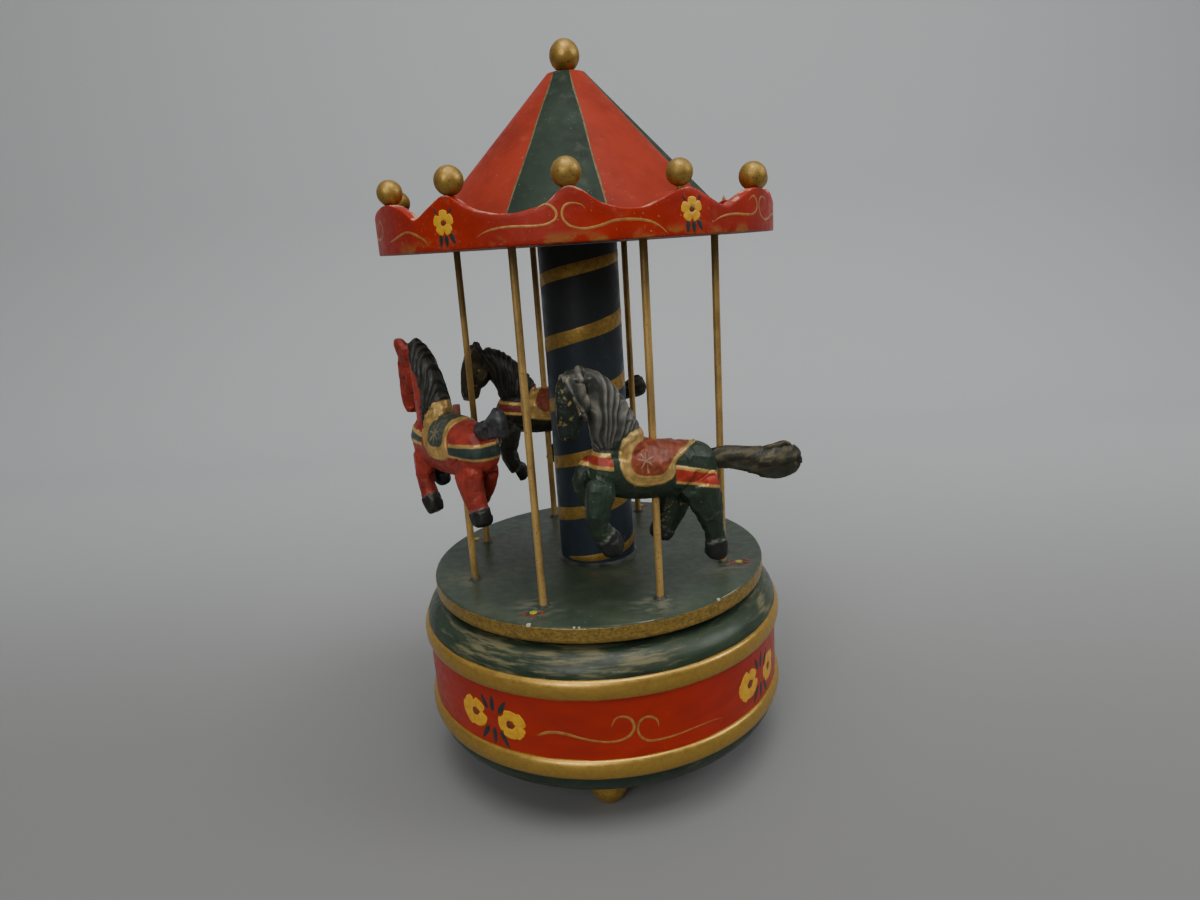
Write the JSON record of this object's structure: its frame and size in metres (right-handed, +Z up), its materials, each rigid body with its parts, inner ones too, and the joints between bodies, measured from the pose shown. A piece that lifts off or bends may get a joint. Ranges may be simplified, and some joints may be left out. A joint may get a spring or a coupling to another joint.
{
  "type": "wooden music-box carousel ornament",
  "caption": "Tabletop wooden carousel on a turned base: a platform that turns with its column, poles, carved horses and striped conical roof with scalloped rim.",
  "frame": {"origin": "on the floor under the carousel's turning axis, at the level of the feet's undersides", "axes": "+Z up along the turning axis, -Y towards the front foot, +X to the right seen from the front"},
  "size_m": [0.1657, 0.1632, 0.3032],
  "materials": {
    "red_paint": "satin brick-red paint on wood, worn at the edges",
    "green_paint": "satin dark green paint on wood, rubbed",
    "navy_paint": "satin navy paint on wood with a gold spiral",
    "gold_paint": "brushed antique gold paint on wood",
    "black_paint": "satin black paint on carved wood, dusty",
    "bare_wood": "bare pale wood",
    "steel": "plain turned steel"
  },
  "bodies": {
    "base": {"base_drum": "red_paint", "bottom_board": "bare_wood", "foot_front": "gold_paint", "foot_back_right": "gold_paint", "foot_back_left": "gold_paint", "drive_spindle": "steel"},
    "turntable": {"platform": "green_paint", "column": "navy_paint", "canopy_disc": "red_paint", "canopy_rim": "red_paint", "roof_cone": "green_paint", "finial_ball": "gold_paint", "bare_pin": "bare_wood", "rim_ball_01": "gold_paint", "rim_ball_02": "gold_paint", "rim_ball_03": "gold_paint", "rim_ball_05": "gold_paint", "rim_ball_06": "gold_paint", "rim_ball_07": "gold_paint", "rim_ball_08": "gold_paint", "rim_ball_09": "gold_paint", "rim_ball_10": "gold_paint", "rim_ball_11": "gold_paint", "rim_ball_12": "gold_paint", "pole_1": "gold_paint", "pole_2_broken": "gold_paint", "pole_3": "gold_paint", "pole_4": "gold_paint", "pole_5": "gold_paint", "pole_6": "gold_paint", "pole_7": "gold_paint", "green_horse_body": "green_paint", "green_horse_tail": "black_paint", "red_horse_body": "red_paint", "red_horse_tail": "black_paint", "black_horse_body": "black_paint", "black_horse_tail": "black_paint"}
  },
  "joints": [
    {"name": "turntable_spin", "type": "hinge", "parent": "base", "child": "turntable", "pos_m": [0, 0, 0.08], "axis": [0, 0, 1], "continuous": true}
  ]
}
